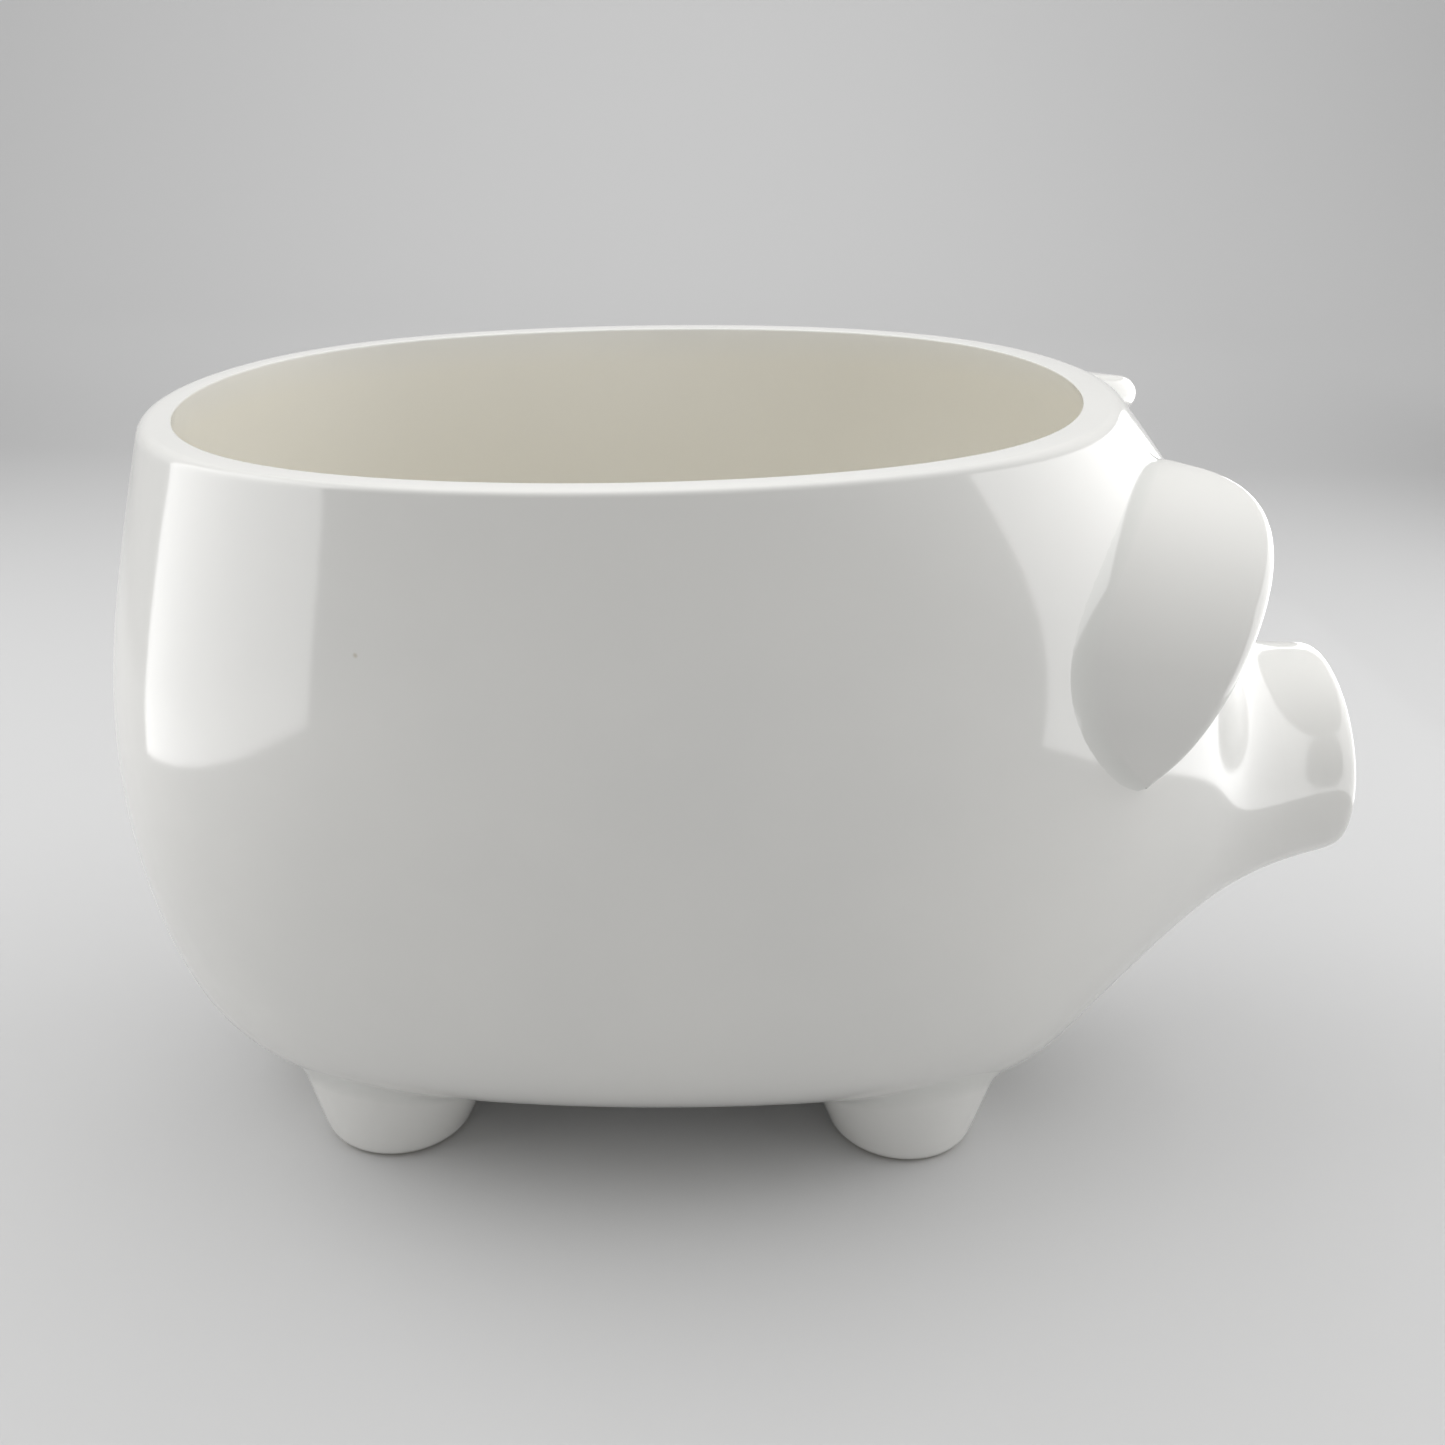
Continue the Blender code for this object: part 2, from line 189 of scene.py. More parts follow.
class EarSizes(bpy.types.PropertyGroup):
    thickness: length("Thickness", "Thickness of the flap", 5.6)
    cup_radius: length("Cup radius", "Radius of the flap's outer face at its top", 31.4)
    curl: number("Curl", "Share by which the radius shrinks toward the low tip", 0.157)
    fall: angle("Fall", "Fall of the flap toward its free edge", 5.5)
    inset: length("Axis inset", "Distance of the cup's axis inside the shoulder ring's side", 44.4)
    drop: length("Axis drop", "Drop of the cup's axis under the shoulder ring, over the object's origin", 5.9)
    top_turn: angle("Top turn", "Turn of the flap's top around the cup's axis", 82.7)
    tip_turn: angle("Tip turn", "Turn of the flap's low tip around the cup's axis", 219.7)
    set_back: length("Edge set back", "Set back of the edge's low end from the shoulder ring's front", 24.0)
    crown: length("Crown", "Reach of the free edge's crown beyond its low end", 15.0)
    dip: length("Dip", "Set back of the free edge's top end from its low end", 5.5)
    crown_shift: number("Crown shift", "Power that moves the crown toward the top", 0.46)
    tip_share: number("Tip share", "Share of the thickness that is left at the low tip", 0.3)
    thinning: count("Thinning", "Power at which the flap thins toward its low tip", 4)
    lip_share: number("Lip share", "Share of the wall to which the free edge may sink into the head", 1 / 3)
    edge_share: number("Edge share", "Share of the free length that the edge's rounding may take", 0.55)
    left_shift: spot("Left shift", "Shift of the left ear from the right one's mirror image", -1.2, 0.0, 4.4)
    back_fillet: length("Back fillet", "Softness of the root on the outer face at the top", 1.8)
    tip_fillet: length("Tip fillet", "Softness of the root on the outer face at the low tip", 2.4)
    cup_fillet: length("Cup fillet", "Softness of the root inside the cup", 2.5)
    fillet_share: number("Fillet share", "Share of the free length that the root's fillet may take", 0.4)
    least_lean: number("Least lean", "Least upward lean reckoned with where the fillet nears the rim", 0.1)
    sunk: length("Sunk", "Depth of the root's last row under the head's surface", 0.15)
    short: length("Short", "Free length under which the root is sunk deeper", 0.3)
    deepest: length("Deepest", "Most by which the root is sunk deeper there", 0.6)
    face_steps: count("Face steps", "Columns on each face of the flap", 44)
    end_steps: count("End steps", "Columns around each end of the flap", 10)
    fillet_steps: count("Fillet steps", "Rows along the root's fillet", 10)
    length_steps: count("Length steps", "Rows between the fillet and the free edge", 8)
    edge_steps: count("Edge steps", "Rows around half of the free edge", 7)


class FootSizes(bpy.types.PropertyGroup):
    sole_radius: length("Sole radius", "Radius of the flat sole", 10.5)
    sole_edge: length("Sole edge", "Softness of the sole's edge", 2.6)
    top_radius: length("Top radius", "Radius of the foot where it meets the pot", 17.4)
    fillet: length("Fillet", "Softness of the joint under the pot's floor", 1.0)
    side_fillet: length("Side fillet", "Softness of the joint where the pot has risen by its clearance", 5.0)
    sunk: length("Sunk", "Depth of the joint's last row under the pot's surface", 0.12)
    turn_steps: count("Turn steps", "Columns around the foot", 96)
    edge_steps: count("Edge steps", "Rows around the sole's edge", 8)
    side_steps: count("Side steps", "Rows up the side", 6)
    fillet_steps: count("Fillet steps", "Rows along the fillet", 8)
    buried_steps: count("Buried steps", "Rows across the joint inside the wall", 3)


class TailSizes(bpy.types.PropertyGroup):
    lift: length("Lift", "Rise of the curl's middle over the belly ring", 2.0)
    curl_radius: length("Curl radius", "Outer radius of the curl", 7.2)
    turns: number("Turns", "Turns of the curl", 1.2)
    pitch: length("Pitch", "Distance from turn to turn", 3.9)
    half_width: length("Half width", "Half the width of the rolled clay", 1.75)
    relief: length("Relief", "Height of the curl over the rump", 1.9)
    sunk: length("Sunk", "Depth of the curl's sides under the rump's surface", 0.15)
    base_share: number("Base share", "Share of the wall to which the curl's base reaches", 0.25)
    tip_start: number("Tip start", "Share of the full section at the very tips", 0.02)
    tip_rate: number("Tip rate", "Rate at which the tips grow to the full section along the curl", 6.0)
    tip_width: number("Tip width", "Share of the width that is left at the tips", 0.35)
    steps: count("Steps", "Rows along the curl", 90)
    width_steps: count("Width steps", "Columns across the curl", 12)


class GlazeLook(bpy.types.PropertyGroup):
    white: colour("White", "Glaze on the outside", 0.84, 0.834, 0.806)
    cloud: colour("Cloud", "White of the thicker patches of glaze", 0.812, 0.808, 0.783)
    cream: colour("Cream", "Glaze on the inside", 0.86, 0.838, 0.768)
    # Darker grey for the creases of the ear roots and foot joints: partly glaze that pooled there, partly
    # painted shade
    pool: colour("Pool and shade", "Glaze that gathered in a crease", 0.75, 0.755, 0.725)
    bisque: colour("Bisque", "Wiped clay of the soles", 0.72, 0.68, 0.59)
    speck: colour("Speck", "Iron speck under the glaze", 0.42, 0.35, 0.20)
    roughness: number("Roughness", "Roughness of clean glaze", 0.07)
    worn: number("Worn", "Roughness of wiped clay", 0.55)
    ior: number("IOR", "Index of refraction of the glaze", 1.52)
    clouds: numbers("Clouds", "Scale, detail and height of the cloudy patches' noise", 22.0, 3.0, 1.0)
    cloud_span: numbers("Cloud span", "Noise at which the clouds start and are full", 0.35, 0.7)
    cream_cloud: number("Cream cloud", "Share of white in the inside's clouds", 0.15)
    # How strongly that darker crease grey, partly pooled glaze and partly painted shade, is laid on
    pool_and_shade_share: number("Pool share", "Share of the pooled glaze's colour in a crease", 0.7)
    wipe: numbers("Wipe", "Scale, detail and height of the soles' uneven edge", 160.0, 2.0, 0.6 * MM)
    wipe_span: numbers("Wipe span", "Heights where bare clay ends and the glaze is full", 0.6 * MM, 1.4 * MM)
    speck_scale: number("Speck scale", "Cells per metre that may hold a speck", 70.0)
    speck_lot: numbers("Speck lot", "Random value from which a cell holds a speck", 0.972, 0.985)
    speck_span: numbers("Speck span", "Reach of a speck's core and of its soft edge in its cell", 0.018, 0.05)
    speck_share: number("Speck share", "Share of the speck's colour under the glaze", 0.8)
    gloss: numbers("Gloss", "Scale, detail and roughness of the duller patches", 9.0, 2.0, 0.05)
    waves: numbers("Waves", "Scale, detail and height of the glaze's slow waves", 38.0, 1.0, 0.8)
    grain: numbers("Grain", "Scale, detail and height of the glaze's fine grain", 320.0, 1.0, 0.06)
    pinhole: number("Pinhole", "Depth of a speck among the waves and grain", 0.5)
    relief: number("Relief", "Strength of the waves, grain and specks", 0.25)
    relief_height: length("Relief height", "Height of a wave of 1 at full strength", 0.4)


class StudioSetup(bpy.types.PropertyGroup):
    paper: colour("Paper", "Colour of the floor and backdrop", 0.62, 0.62, 0.62)
    paper_roughness: number("Paper roughness", "Roughness of the floor and backdrop", 0.9)
    paper_gloss: number("Paper gloss", "Specular level of the floor and backdrop", 0.1)
    floor_half: length("Floor half", "Half the width of the square floor, and the backdrop's height", 1800.0)
    sweep: length("Sweep", "Radius of the curve between floor and backdrop", 900.0)
    sweep_steps: count("Sweep steps", "Rows along that curve", 24)
    world: number("World", "Strength of the light from all around", 0.34)
    target: spot("Target", "Place that the camera looks at", -2.987, 0.0, 73.612)
    distance: length("Distance", "Distance of the camera from the target", 290.92)
    turn: angle("Turn", "Turn of the camera's line of sight from +Y toward +X", 2.450)
    tilt: angle("Tilt", "Fall of the camera's line of sight", 23.431)
    roll: angle("Roll", "Roll of the camera, anticlockwise as seen from behind it", 1.655)
    lens: number("Lens", "Focal length of the camera in millimetres", 38.94)
    near: length("Near", "Distance from which the camera sees", 10.0)
    left: lamp("Left panel", 2.7, (-430.0, 40.0, 540.0), (600.0, 900.0))
    right: lamp("Right panel", 2.9, (420.0, 40.0, 540.0), (660.0, 900.0))
    top: lamp("Overhead panel", 4.2, (-30.0, 60.0, 950.0), (1400.0, 1200.0))
    back: lamp("Backdrop's panel", 10.0, (0.0, 500.0, 900.0), (1600.0, 600.0))
    window_left: lamp("Left window", 2.4, (-280.0, -86.0, 185.0), (254.0, 360.0))
    window_right: lamp("Right window", 2.5, (230.0, 66.0, 105.0), (468.0, 200.0))


class Planter(bpy.types.PropertyGroup):
    pot: PointerProperty(type=PotSizes)
    snout: PointerProperty(type=SnoutSizes)
    ear: PointerProperty(type=EarSizes)
    foot: PointerProperty(type=FootSizes)
    tail: PointerProperty(type=TailSizes)
    glaze: PointerProperty(type=GlazeLook)
    studio: PointerProperty(type=StudioSetup)


def soft_corner(start, corner, end, steps):
    """Points of a soft curve from start to end, tangent there to the two lines that meet at the corner."""
    shares = [step / steps for step in range(steps + 1)]
    return [start.lerp(corner, share).lerp(corner.lerp(end, share), share) for share in shares]


def loop_edges(bm, loop):
    """The edges between the corners of a closed loop, given in order."""
    return [bm.edges.get((corner, ahead)) for corner, ahead in zip(loop, loop[1:] + loop[:1])]


def grow(bm, loop, places):
    """Extrudes a closed loop of corners to new places and returns the new loop in the same order."""
    made = bmesh.ops.extrude_edge_only(bm, edges=loop_edges(bm, loop))["geom"]
    fresh = {item for item in made if isinstance(item, bmesh.types.BMVert)}
    grown = []
    for corner, place in zip(loop, places):
        partner = next(v for v in (edge.other_vert(corner) for edge in corner.link_edges) if v in fresh)
        partner.co = place
        grown.append(partner)
    return grown


def shaped(value, squareness):
    """A sine or cosine bent from an ellipse to a superellipse."""
    return math.copysign(abs(value) ** (2 / squareness), value)


def ring_point(pot, values, squareness, column):
    """A corner of one of the pot's control rings."""
    rise, rear, front, half_width = values
    turn = math.tau * column / COLUMNS
    along = (front - rear) / 2 + (front + rear) / 2 * shaped(math.cos(turn), squareness)
    across = half_width * shaped(math.sin(turn), squareness)
    lean = along * math.tan(pot.slope) * rise / pot.rim[0]
    return Vector((pot.middle + along, across, CLEARANCE + rise + lean))


def spare_ring(pot):
    """The ring above the rim, in line with the wall under it."""
    share = pot.spare / (pot.rim[0] - pot.shoulder[0])
    return [top + (top - low) * share for top, low in zip(pot.rim, pot.shoulder)]


def rim_normal(pot):
    """The upward direction of the rim's plane."""
    return Vector((-math.sin(pot.slope), 0.0, math.cos(pot.slope)))


def rim_height(pot, place):
    """Height of a place over the rim's plane."""
    return (place - Vector((pot.middle, 0.0, CLEARANCE + pot.rim[0]))).dot(rim_normal(pot))


def snout_axis(snout):
    """The direction that the snout points in."""
    return Vector((math.cos(snout.tilt), 0.0, math.sin(snout.tilt)))


def snout_centre(planter, distance):
    """A place on the snout's axis, at a distance from the cheek ring."""
    pot, snout = planter.pot, planter.snout
    cheek = Vector((pot.middle + pot.belly[2] - snout.set_back, 0.0, CLEARANCE + pot.belly[0] - snout.drop))
    return cheek + snout_axis(snout) * distance


def snout_ring(planter, distance, radius):
    """The corners of a round section of the snout, from its lowest one toward +Y."""
    upward = Vector((-math.sin(planter.snout.tilt), 0.0, math.cos(planter.snout.tilt)))
    turns = [math.tau * step / SNOUT_STEPS for step in range(SNOUT_STEPS)]
    centre = snout_centre(planter, distance)
    return [centre + Vector((0.0, math.sin(turn) * radius, 0.0)) - upward * (math.cos(turn) * radius)
            for turn in turns]


def cast_cage(planter, inset):
    """The control cage of the cast form, moved inward by the inset; its faces carry their section."""
    pot, snout = planter.pot, planter.snout
    bm = bmesh.new()
    made = bmesh.ops.create_circle(bm, cap_ends=True, cap_tris=True, segments=COLUMNS, radius=1.0)["verts"]
    hub = min(made, key=lambda corner: corner.co.length)
    hub.co = (pot.middle, 0.0, CLEARANCE)
    loops = [[corner for corner in made if corner is not hub]]
    for column, corner in enumerate(loops[0]):
        corner.co = ring_point(pot, pot.floor, pot.low_squareness, column)
    upper = (pot.flank, pot.belly, pot.shoulder, pot.rim, spare_ring(pot))
    rings = [(pot.sill, pot.low_squareness)] + [(values, pot.squareness) for values in upper]
    for values, squareness in rings:
        places = [ring_point(pot, values, squareness, column) for column in range(COLUMNS)]
        loops.append(grow(bm, loops[-1], places))
    bmesh.ops.recalc_face_normals(bm, faces=bm.faces)
    bm.normal_update()
    moves = [corner.normal * (inset * corner.calc_shell_factor()) for corner in bm.verts]
    for corner, move in zip(bm.verts, moves):
        corner.co -= move
    section = bm.faces.layers.int.new("section")
    flank, belly, shoulder = loops[2:5]
    bmesh.ops.delete(bm, geom=[belly[0]], context="VERTS")
    hole = [flank[0], flank[1], belly[1], shoulder[1], shoulder[0], shoulder[-1], belly[-1], flank[-1]]
    sections = ((POT, 0.0, snout.cheek_radius - inset),
                (TUBE, snout.neck - inset, snout.neck_radius - inset),
                (TIP, snout.tip - inset, snout.tip_radius - inset),
                (TIP, snout.tip + snout.crown - inset, snout.tip_radius - inset - snout.border))
    for label, distance, radius in sections:
        known = set(bm.faces)
        hole = grow(bm, hole, snout_ring(planter, distance, radius))
        for face in bm.faces:
            if face not in known:
                face[section] = label
    for face in bmesh.ops.holes_fill(bm, edges=loop_edges(bm, hole), sides=SNOUT_STEPS)["faces"]:
        face[section] = TIP
    bmesh.ops.recalc_face_normals(bm, faces=bm.faces)
    return bm


def cast_surface(planter, inset, levels):
    """The smooth outer surface of the cast form, or its inner one when the inset is the wall."""
    cage = cast_cage(planter, inset)
    mesh = bpy.data.meshes.new("cage")
    cage.to_mesh(mesh)
    cage.free()
    holder = bpy.data.objects.new("cage", mesh)
    bpy.context.scene.collection.objects.link(holder)
    smooth = holder.modifiers.new("Smooth", "SUBSURF")
    smooth.levels = smooth.render_levels = levels
    bm = bmesh.new()
    bm.from_object(holder, bpy.context.evaluated_depsgraph_get())
    bpy.data.objects.remove(holder)
    bpy.data.meshes.remove(mesh)
    bm.normal_update()
    return bm


def snout_faces(bm, levels):
    """The faces in front of the luted seam, which runs half way along the tube between cheek and neck."""
    section = bm.faces.layers.int["section"]
    tube = {face for face in bm.faces if face[section] == TUBE}
    behind = {corner for face in bm.faces if face[section] == POT for corner in face.verts}
    for _ in range(2 ** (levels - 1)):
        row = {face for face in tube if any(corner in behind for corner in face.verts)}
        tube -= row
        behind |= {corner for face in row for corner in face.verts}
    return tube | {face for face in bm.faces if face[section] == TIP}


def keep_seam(bm, levels, facing):
    """Keeps the normals of the seam's corners, so that the glaze runs over it; returns the faces in front."""
    layer = bm.verts.layers.float_vector.new("cast_normal")
    front = snout_faces(bm, levels)
    for face in front:
        for corner in face.verts:
            if any(near not in front for near in corner.link_faces):
                corner[layer] = corner.normal * facing
    return front


def cast_walls(planter, levels, in_front):
    """The outer and inner surface of the cast form on one side of the seam, both facing out of the clay."""
    walls = []
    for inset, facing in ((0.0, 1.0), (planter.pot.wall, -1.0)):
        wall = cast_surface(planter, inset, levels)
        front = keep_seam(wall, levels, facing)
        other = [face for face in wall.faces if (face in front) != in_front]
        bmesh.ops.delete(wall, geom=other, context="FACES")
        walls.append(wall)
    bmesh.ops.reverse_faces(walls[1], faces=walls[1].faces)
    return walls


def open_loops(bm):
    """Every open edge loop of a surface, each as its corners in order."""
    links = {}
    for edge in bm.edges:
        if edge.is_boundary:
            for corner in edge.verts:
                links.setdefault(corner, []).append(edge.other_vert(corner))
    loops = []
    while links:
        order, behind, here = [], None, next(iter(links))
        while here in links:
            order.append(here)
            ahead = next(corner for corner in links.pop(here) if corner is not behind)
            behind, here = here, ahead
        if here is not order[0]:
            raise RuntimeError("An open edge isn't one closed loop")
        loops.append(order)
    return loops


def trim_rim(bm, pot, depth):
    """Takes rows of faces off the open top until it lies at least a depth under the rim's plane."""
    while True:
        top = max(open_loops(bm), key=lambda loop: loop[0].co.z)
        if max(rim_height(pot, corner.co) for corner in top) < -depth:
            bm.normal_update()
            return top
        row = {face for edge in loop_edges(bm, top) for face in edge.link_faces}
        bmesh.ops.delete(bm, geom=list(row), context="FACES")


def round_over(bm, loop, pot, softness):
    """Draws an open wall up to the rim's plane and over a soft edge; returns the last, flat loop."""
    upward = rim_normal(pot)
    paths = []
    for corner in loop:
        climb = (upward - corner.normal * upward.dot(corner.normal)).normalized()
        across = (upward * upward.dot(corner.normal) - corner.normal).normalized()
        peak = corner.co - climb * (rim_height(pot, corner.co) / climb.dot(upward))
        reach = softness(corner)
        paths.append(soft_corner(peak - climb * reach, peak, peak + across * reach, pot.edge_steps))
    for places in zip(*paths):
        loop = grow(bm, loop, places)
    return loop


def indices(bm, corners):
    """The corners' numbers, which stay the same in a copy."""
    bm.verts.index_update()
    return [corner.index for corner in corners]


def joined(outer, inner):
    """One bmesh of both surfaces, the layer that marks the inside, and the number of the outer corners."""
    bm = bmesh.new()
    known = len(outer.verts)
    for surface in (outer, inner):
        mesh = bpy.data.meshes.new("joined")
        surface.to_mesh(mesh)
        surface.free()
        bm.from_mesh(mesh)
        bpy.data.meshes.remove(mesh)
    inside = bm.verts.layers.float.new("inside")
    bm.verts.ensure_lookup_table()
    return bm, inside, known


def finish_piece(bm, node_name, slot, sharp):
    """Turns a bmesh into a piece that rides the body in place of its CAD node, and gives it its glaze."""
    name = f"glazed_{node_name}"
    loose = [corner for corner in bm.verts if not corner.link_faces]
    bmesh.ops.delete(bm, geom=loose, context="VERTS")
    open_edge = next((edge for edge in bm.edges if not edge.is_manifold), None)
    if open_edge:
        raise RuntimeError(f"{name} isn't closed at {tuple(open_edge.verts[0].co)}")
    bmesh.ops.recalc_face_normals(bm, faces=bm.faces)
    for face in bm.faces:
        face.smooth = True
    kept = bm.verts.layers.float_vector.get("cast_normal")
    normals = [corner[kept].copy() for corner in bm.verts] if kept else []
    if kept:
        bm.verts.layers.float_vector.remove(kept)
        bm.faces.layers.int.remove(bm.faces.layers.int["section"])
    mesh = bpy.data.meshes.new(name)
    bm.to_mesh(mesh)
    bm.free()
    mesh.set_sharp_from_angle(angle=sharp)
    if normals:
        keep_normals(mesh, normals)
    piece = bpy.data.objects.new(name, mesh)
    bpy.context.scene.collection.objects.link(piece)
    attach(piece, "root")
    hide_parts(node_name)
    mesh.materials.append(glaze(slot))


def keep_normals(mesh, normals):
    """Shades the corners at the seam as the whole cast surface is shaded there."""
    chosen = []
    for face in mesh.polygons:
        for index in face.vertices:
            along = normals[index].dot(face.normal) > ALIGNED
            chosen.append(normals[index] if along else Vector())
    mesh.normals_split_custom_set(chosen)


class Wire:
    """A node socket that takes part in sums; each operation adds a Math node to the socket's tree."""

    def __init__(self, socket):
        self.socket = socket

    def node(self, kind, settings, sockets, output):
        """Adds a node to the tree, sets its settings, then its values or links, and returns one output."""
        tree = self.socket.id_data
        made = tree.nodes.new(kind)
        for name, value in settings.items():
            setattr(made, name, value)
        for name, value in sockets.items():
            if isinstance(value, Wire):
                tree.links.new(value.socket, made.inputs[name])
            else:
                made.inputs[name].default_value = value
        return Wire(made.outputs[output])

    def math(self, operation, *values):
        """A Math node on two values."""
        return self.node("ShaderNodeMath", {"operation": operation}, dict(enumerate(values)), "Value")

    def __add__(self, other):
        return self.math("ADD", self, other)

    __radd__ = __add__

    def __sub__(self, other):
        return self.math("SUBTRACT", self, other)

    def __rsub__(self, other):
        return self.math("SUBTRACT", other, self)

    def __mul__(self, other):
        return self.math("MULTIPLY", self, other)

    __rmul__ = __mul__

    def ramp(self, low, high):
        """A smooth step from 0 at the low value to 1 at the high one."""
        sockets = {"Value": self, "From Min": low, "From Max": high}
        return self.node("ShaderNodeMapRange", {"interpolation_type": "SMOOTHSTEP"}, sockets, "Result")

    def blend(self, first, second):
        """A mix of two colours, with this value as the second one's share."""
        sockets = {MIX_SHARE: self, MIX_FIRST: first, MIX_SECOND: second}
        return self.node("ShaderNodeMix", {"data_type": "RGBA"}, sockets, MIX_RESULT)


def opaque(values):
    """A colour property with full alpha."""
    return (*values, 1.0)


def glaze(slot):
    """The glaze of one slot, made once: white with faint clouds, cream inside, bare on the soles."""
    name = f"fired_{slot}"
    known = bpy.data.materials.get(name)
    if known:
        return known
    look = bpy.context.scene.planter.glaze
    material = bpy.data.materials.new(name)
    material.use_nodes = True
    shader = material.node_tree.nodes["Principled BSDF"]
    place = Wire(shader.outputs["BSDF"]).node("ShaderNodeTexCoord", {}, {}, "Object")

    def noise(values):
        scale, detail, height = values
        sockets = {"Vector": place, "Scale": scale, "Detail": detail}
        return place.node("ShaderNodeTexNoise", {}, sockets, "Fac") * height

    def attribute(name):
        return place.node("ShaderNodeAttribute", {"attribute_name": name}, {}, "Fac")

    def cells(output):
        return place.node("ShaderNodeTexVoronoi", {}, {"Vector": place, "Scale": look.speck_scale}, output)

    clouds = noise(look.clouds).ramp(*look.cloud_span)
    inside, pool = attribute("inside"), attribute("pool")
    height = place.node("ShaderNodeSeparateXYZ", {}, {"Vector": place}, "Z")
    bare = 1.0 - (height + noise(look.wipe)).ramp(*look.wipe_span)
    lot = place.node("ShaderNodeSeparateColor", {}, {"Color": cells("Color")}, "Red")
    specks = (1.0 - cells("Distance").ramp(*look.speck_span)) * lot.ramp(*look.speck_lot)

    base = clouds.blend(opaque(look.white), opaque(look.cloud))
    base = inside.blend(base, (clouds * look.cream_cloud).blend(opaque(look.cream), opaque(look.white)))
    # Darker grey in the creases at the ear roots and foot joints: partly pooled glaze, partly painted shade
    base = (pool * look.pool_and_shade_share).blend(base, opaque(look.pool))
    base = (specks * look.speck_share).blend(base, opaque(look.speck))
    base = bare.blend(base, opaque(look.bisque))
    gloss = look.roughness + noise(look.gloss) + bare * (look.worn - look.roughness)
    waves = noise(look.waves) + noise(look.grain) - specks * look.pinhole
    sockets = {"Strength": look.relief, "Distance": look.relief_height, "Height": waves}
    bump = place.node("ShaderNodeBump", {}, sockets, "Normal")

    shader.inputs["IOR"].default_value = look.ior
    for name, wire in (("Base Color", base), ("Roughness", gloss), ("Normal", bump)):
        material.node_tree.links.new(wire.socket, shader.inputs[name])
    return material


def piece_of_rows(rows, capped):
    """A closed piece drawn through rows of places, each with a share of the darker crease grey: partly pooled
    glaze, partly painted shade.

    Its ends are capped, or else their places meet in pairs and are welded.
    """
    bm = bmesh.new()
    # Share of the darker crease grey at each corner: pooled glaze and painted shade in the fillets
    pool = bm.verts.layers.float.new("pool")
    loop = bmesh.ops.create_circle(bm, cap_ends=capped, segments=len(rows[0][1]), radius=1.0)["verts"]
    for corner, place in zip(loop, rows[0][1]):
        corner.co = place
    for share, places in rows[1:]:
        loop = grow(bm, loop, places)
        for corner in loop:
            corner[pool] = share
    if capped:
        bmesh.ops.holes_fill(bm, edges=loop_edges(bm, loop), sides=0)
    bmesh.ops.remove_doubles(bm, verts=bm.verts, dist=WELD)
    return bm


def pooled_and_shaded(rows, start, steps):
    """Rows with their share of the darker crease grey, partly pooled glaze and partly painted shade, in the
    fillet, which starts at a row.
    """
    shares = [min(max((row - start) / steps, 0.0), 1.0) for row in range(len(rows))]
    return [(math.sin(math.pi * share), places) for share, places in zip(shares, rows)]


class PLANTER_OT_pot(bpy.types.Operator):
    """Models the pot: its cast wall, the soft rim and the open seam of the snout"""
    bl_idname = "planter.pot"
    bl_label = "Model the pot"

    def execute(self, context):
        planter = context.scene.planter
        pot = planter.pot
        outer, inner = cast_walls(planter, POT_LEVELS, in_front=False)
        inner_top = trim_rim(inner, pot, pot.inner_edge * INNER_TRIM)
        inner_end = round_over(inner, inner_top, pot, lambda corner: pot.inner_edge)
        outer_top = trim_rim(outer, pot, (pot.outer_edge + pot.end_edge) * OUTER_TRIM)
        outer_end = round_over(outer, outer_top, pot,
                               lambda corner: pot.outer_edge + pot.end_edge * corner.normal.x ** 2)
        ends = indices(outer, outer_end), indices(inner, inner_end)
        bm, inside, known = joined(outer, inner)
        for corner in bm.verts[known:]:
            corner[inside] = min(1.0, max(0.0, -rim_height(pot, corner.co) / pot.cream_depth))
        flat = loop_edges(bm, [bm.verts[index] for index in ends[0]])
        flat += loop_edges(bm, [bm.verts[known + index] for index in ends[1]])
        bmesh.ops.bridge_loops(bm, edges=flat)
        bmesh.ops.bridge_loops(bm, edges=[edge for edge in bm.edges if edge.is_boundary])
        finish_piece(bm, "body_shell", "body_glaze", CAST_CREASE)
        return {"FINISHED"}


class PLANTER_OT_snout(bpy.types.Operator):
    """Models the snout: a hollow blunt cup with two nostril dents"""
    bl_idname = "planter.snout"
    bl_label = "Model the snout"

    def execute(self, context):
        planter = context.scene.planter
        outer, inner = cast_walls(planter, SNOUT_LEVELS, in_front=True)
        self.dent(outer, planter)
        bm, inside, known = joined(outer, inner)
        for corner in bm.verts[known:]:
            corner[inside] = 1.0
        bmesh.ops.bridge_loops(bm, edges=[edge for edge in bm.edges if edge.is_boundary])
        finish_piece(bm, "snout", "body_glaze", CAST_CREASE)
        return {"FINISHED"}

    @staticmethod
    def dent(bm, planter):
        """Presses the two nostrils into the disc."""
        snout = planter.snout
        axis = snout_axis(snout)
        upward = Vector((-axis.z, 0.0, axis.x))
        middle = snout_centre(planter, snout.tip)
        for corner in bm.verts:
            offset = corner.co - middle
            if offset.dot(axis) < -snout.border:
                continue
            across = (abs(offset.y) - snout.nostril_spacing / 2) / (snout.nostril_width / 2)
            above = (offset.dot(upward) - snout.nostril_raise) / (snout.nostril_height / 2)
            away = math.hypot(across, above)
            if away < 1.0:
                corner.co -= axis * (snout.nostril_depth * math.cos(away * math.pi / 2) ** 2)


def head_tree(planter):
    """The search tree of the cast form's outer surface."""
    surface = cast_surface(planter, 0.0, POT_LEVELS)
    tree = BVHTree.FromBMesh(surface)
    surface.free()
    return tree


